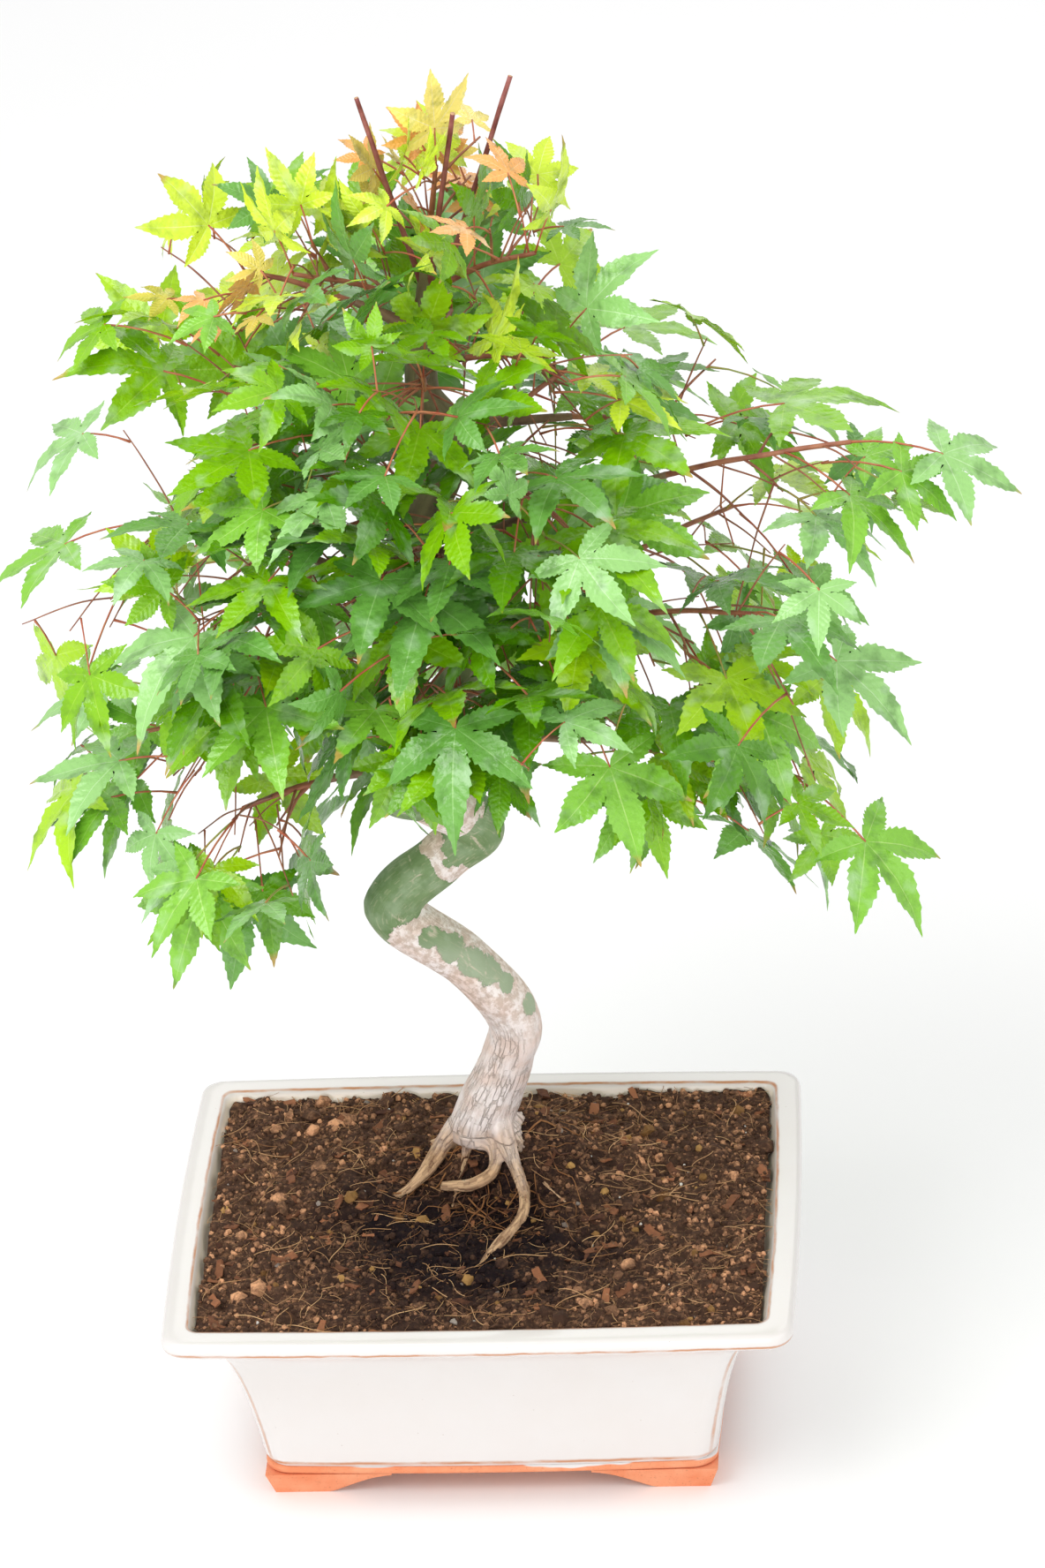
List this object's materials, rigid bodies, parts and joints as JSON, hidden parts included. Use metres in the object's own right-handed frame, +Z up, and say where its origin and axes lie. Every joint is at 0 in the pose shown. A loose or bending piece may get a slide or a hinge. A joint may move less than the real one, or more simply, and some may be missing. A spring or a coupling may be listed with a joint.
{
  "type": "japanese maple bonsai",
  "caption": "Potted dwarf japanese maple: twisting trunk on bared roots, boughs and leaf masses, in a cream glazed rectangular pot on bracket feet.",
  "frame": {"origin": "middle of the whole plant's bounding box in plan, on the table's surface under the pot's feet", "axes": "+Z up, +X to the right along the pot's long side, +Y away from the front of the pot"},
  "size_m": [0.3504, 0.2712, 0.524],
  "materials": {
    "glaze": "glossy",
    "terracotta": "matte",
    "soil": "matte",
    "bark": "matte",
    "young_bark": "satin",
    "leaf": "satin",
    "lime_leaf": "satin",
    "yellow_leaf": "satin"
  },
  "bodies": {
    "root": {"pot_body": "glaze", "pot_base_band": "terracotta", "soil": "soil", "trunk": "bark", "pot_foot_front_left": "terracotta", "pot_foot_front_right": "terracotta", "pot_foot_back_left": "terracotta", "pot_foot_back_right": "terracotta", "bough_upper_left": "young_bark", "bough_upper_right": "young_bark", "bough_upper_front": "young_bark", "bough_upper_back": "young_bark", "bough_shoulder_left": "young_bark", "bough_shoulder_right": "young_bark", "bough_shoulder_front_left": "young_bark", "bough_shoulder_front_right": "young_bark", "bough_shoulder_back_left": "young_bark", "bough_shoulder_back_right": "young_bark", "bough_middle_right": "young_bark", "bough_middle_left": "young_bark", "bough_middle_front_left": "young_bark", "bough_middle_front_right": "young_bark", "bough_middle_back": "young_bark", "bough_low_front": "young_bark", "bough_low_left": "young_bark", "bough_low_front_left": "young_bark", "bough_low_front_right": "young_bark", "bough_low_right": "young_bark", "bough_low_back_right": "young_bark", "bough_low_back_left": "young_bark", "stub_left": "young_bark", "stub_middle": "young_bark", "stub_right": "young_bark", "foliage_apex": "yellow_leaf", "foliage_top_right": "lime_leaf", "foliage_top_left": "lime_leaf", "foliage_upper_left": "lime_leaf", "foliage_upper_right": "leaf", "foliage_upper_front": "leaf", "foliage_upper_back": "leaf", "foliage_shoulder_left": "leaf", "foliage_shoulder_right": "leaf", "foliage_shoulder_front_left": "leaf", "foliage_shoulder_front_right": "leaf", "foliage_shoulder_back_left": "leaf", "foliage_shoulder_back_right": "leaf", "foliage_middle_right": "leaf", "foliage_middle_left": "leaf", "foliage_middle_front_left": "leaf", "foliage_middle_front": "leaf", "foliage_middle_front_right": "leaf", "foliage_middle_back": "leaf", "foliage_low_front": "leaf", "foliage_low_left": "leaf", "foliage_low_front_left": "leaf", "foliage_low_front_right": "leaf", "foliage_low_right": "leaf", "foliage_low_back_right": "leaf", "foliage_low_back_left": "leaf"}
  },
  "joints": []
}
